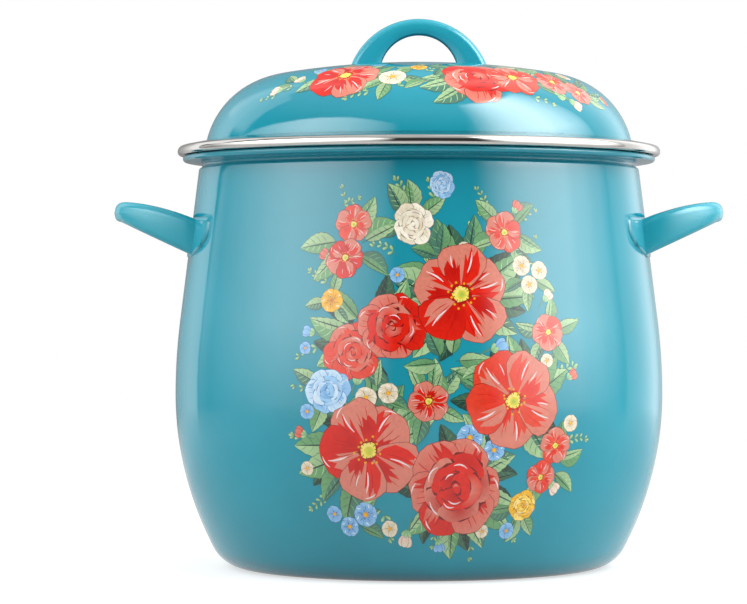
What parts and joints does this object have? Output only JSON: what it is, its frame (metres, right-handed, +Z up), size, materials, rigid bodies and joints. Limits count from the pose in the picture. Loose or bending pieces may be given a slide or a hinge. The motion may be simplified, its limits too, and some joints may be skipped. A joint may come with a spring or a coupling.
{
  "type": "water bath canner",
  "caption": "Belly-shaped enamelled water bath canner with side handles, a domed lift-off lid with a steel rim band, and a wire jar rack with swinging bails.",
  "frame": {"origin": "centre of the pot's flat underside", "axes": "+Z up the pot's axis, side handles on +X and -X, printed front towards -Y"},
  "size_m": [0.413, 0.3298, 0.371],
  "materials": {
    "enamel": "glossy vitreous enamel on pressed steel, printed decoration under the gloss",
    "rim_steel": "polished stainless steel",
    "rack_wire": "bright plated steel wire"
  },
  "bodies": {
    "pot": {"pot_body": "enamel", "handle_left": "enamel", "handle_right": "enamel"},
    "lid": {"lid_shell": "enamel", "lid_rim_band": "rim_steel", "lid_handle": "enamel"},
    "rack": {"rack_base_ring": "rack_wire", "rack_hub_ring": "rack_wire", "rack_guard_ring": "rack_wire", "rack_floor_wire_1": "rack_wire", "rack_floor_wire_2": "rack_wire", "rack_floor_wire_3": "rack_wire", "rack_floor_wire_4": "rack_wire", "rack_floor_wire_5": "rack_wire", "rack_floor_wire_6": "rack_wire", "rack_floor_wire_7": "rack_wire", "rack_floor_wire_8": "rack_wire", "rack_floor_wire_9": "rack_wire", "rack_divider_1": "rack_wire", "rack_divider_2": "rack_wire", "rack_divider_3": "rack_wire", "rack_divider_4": "rack_wire", "rack_divider_5": "rack_wire", "rack_divider_6": "rack_wire", "rack_foot_1": "rack_wire", "rack_foot_2": "rack_wire", "rack_foot_3": "rack_wire", "rack_foot_4": "rack_wire", "rack_pivot_bar_left": "rack_wire", "rack_pivot_bar_right": "rack_wire"},
    "bail_left": {"rack_bail_left": "rack_wire"},
    "bail_right": {"rack_bail_right": "rack_wire"}
  },
  "joints": [
    {"name": "lid_lift", "type": "slide", "parent": "pot", "child": "lid", "axis": [0, 0, 1], "range_m": [0, 0.18]},
    {"name": "rack_lift", "type": "slide", "parent": "pot", "child": "rack", "axis": [0, 0, 1], "range_m": [0, 0.08]},
    {"name": "bail_right_swing", "type": "hinge", "parent": "rack", "child": "bail_right", "pos_m": [0.114, 0, 0.0738], "axis": [0, 1, 0], "range_deg": [0, 90]},
    {"name": "bail_left_swing", "type": "hinge", "parent": "rack", "child": "bail_left", "pos_m": [-0.114, 0, 0.0738], "axis": [0, -1, 0], "range_deg": [0, 90]}
  ]
}
